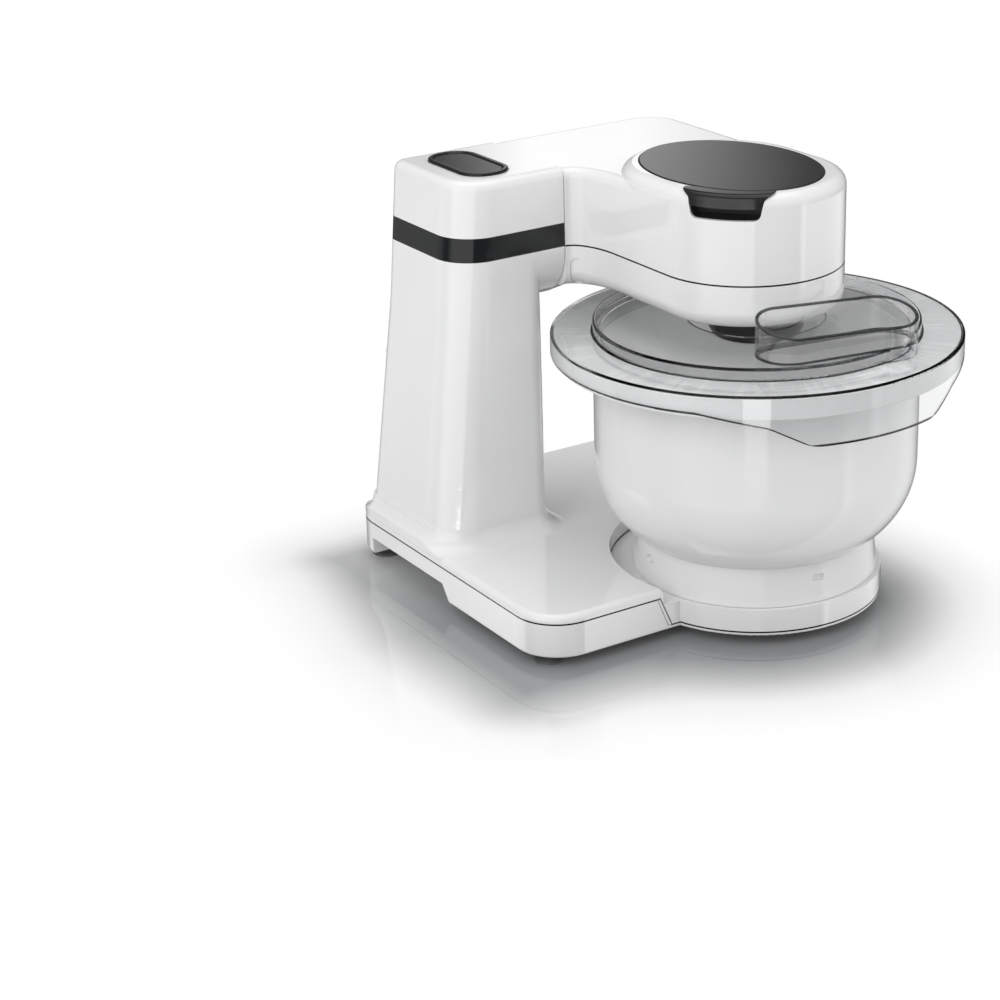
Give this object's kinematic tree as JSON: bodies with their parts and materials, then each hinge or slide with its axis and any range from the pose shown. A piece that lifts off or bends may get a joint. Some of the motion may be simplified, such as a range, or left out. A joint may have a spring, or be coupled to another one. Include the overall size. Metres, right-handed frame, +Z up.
{
  "type": "stand mixer",
  "caption": "Compact stand mixer: a side column carries a tilting arm with a planetary drive hub over a white bowl, with a clear lid and its filling chute.",
  "frame": {"origin": "centre of the bounding box, on the table under the feet", "axes": "+Z up, +Y from the front to the back, +X from the column side to the bowl side"},
  "size_m": [0.3098, 0.3508, 0.2846],
  "materials": {
    "white_plastic": "gloss",
    "black_gloss": "gloss",
    "cover_grey": "satin",
    "button_grey": "satin",
    "black_plastic": "satin",
    "clear_smoky": "clear, polished",
    "grey_rubber": "matte",
    "belt_rubber": "matte",
    "steel": "ground",
    "alloy": "cast",
    "bronze": "sintered",
    "copper": "varnished windings",
    "gear_plastic": "moulded",
    "board_green": "lacquered"
  },
  "bodies": {
    "base": {"body_shell": "white_plastic", "base_tray": "white_plastic", "suction_feet": "grey_rubber", "bowl_socket": "white_plastic", "band_trim": "black_gloss", "hinge_bush": "gear_plastic", "latch_bracket": "gear_plastic", "button_spring": "steel", "speed_switch": "black_plastic", "control_board": "board_green", "cord_gland": "black_plastic", "housing_screws": "steel"},
    "button": {"release_button": "button_grey"},
    "dial": {"speed_dial": "button_grey"},
    "arm": {"arm_upper_shell": "white_plastic", "arm_lower_shell": "white_plastic", "pivot_journal": "alloy", "journal_ring": "steel", "motor_frame": "alloy", "motor_stator": "steel", "motor_bearings": "bronze", "drive_belt": "belt_rubber", "gearbox_plate": "alloy", "ring_gear": "gear_plastic", "shaft_bearings": "bronze", "drive_well": "black_plastic", "arm_screws": "steel"},
    "rotor": {"armature": "copper", "motor_shaft": "steel", "motor_pulley": "gear_plastic"},
    "shaft": {"drive_shaft": "steel", "belt_pulley": "gear_plastic", "blender_coupling": "black_plastic"},
    "carrier": {"planet_carrier": "black_plastic"},
    "spindle": {"tool_spindle": "steel", "planet_gear": "gear_plastic"},
    "cover": {"drive_cover": "cover_grey"},
    "bowl_body": {"bowl": "white_plastic"},
    "lid_body": {"lid": "clear_smoky"}
  },
  "joints": [
    {"name": "arm_tilt", "type": "hinge", "parent": "base", "child": "arm", "pos_m": [-0.0539, 0.1044, 0.225], "axis": [-1, 0, 0], "range_deg": [0, 80]},
    {"name": "button_press", "type": "slide", "parent": "base", "child": "button", "axis": [0, 0, -1], "range_m": [0, 0.003], "stiffness_N_per_m": 600, "springref_m": -0.005, "deforming": ["button_spring"]},
    {"name": "speed_turn", "type": "hinge", "parent": "base", "child": "dial", "pos_m": [-0.1049, 0.1494, 0.14], "axis": [0, 1, 0], "range_deg": [0, 240]},
    {"name": "motor_spin", "type": "hinge", "parent": "arm", "child": "rotor", "pos_m": [0.0251, 0.0864, 0.25], "axis": [0, 0, 1], "continuous": true},
    {"name": "drive_shaft_spin", "type": "hinge", "parent": "arm", "child": "shaft", "pos_m": [0.0251, -0.0456, 0.24], "axis": [0, 0, 1], "continuous": true},
    {"name": "carrier_spin", "type": "hinge", "parent": "arm", "child": "carrier", "pos_m": [0.0251, -0.0456, 0.195], "axis": [0, 0, 1], "continuous": true},
    {"name": "spindle_spin", "type": "hinge", "parent": "carrier", "child": "spindle", "pos_m": [0.0449, -0.0456, 0.195], "axis": [0, 0, 1], "continuous": true},
    {"name": "cover_lift", "type": "slide", "parent": "arm", "child": "cover", "axis": [0, 0, 1], "range_m": [0, 0.03]},
    {"name": "bowl_lock", "type": "hinge", "parent": "base", "child": "bowl_body", "pos_m": [0.0251, -0.0456, 0.03], "axis": [0, 0, 1], "range_deg": [0, 20]},
    {"name": "lid_turn", "type": "hinge", "parent": "bowl_body", "child": "lid_body", "pos_m": [0.0251, -0.0456, 0.18], "axis": [0, 0, 1], "range_deg": [0, 15]}
  ],
  "couplings": [
    {"joint": "drive_shaft_spin", "follows": "motor_spin", "ratio": 0.25},
    {"joint": "carrier_spin", "follows": "motor_spin", "ratio": 0.041667},
    {"joint": "spindle_spin", "follows": "motor_spin", "ratio": -0.10417}
  ]
}
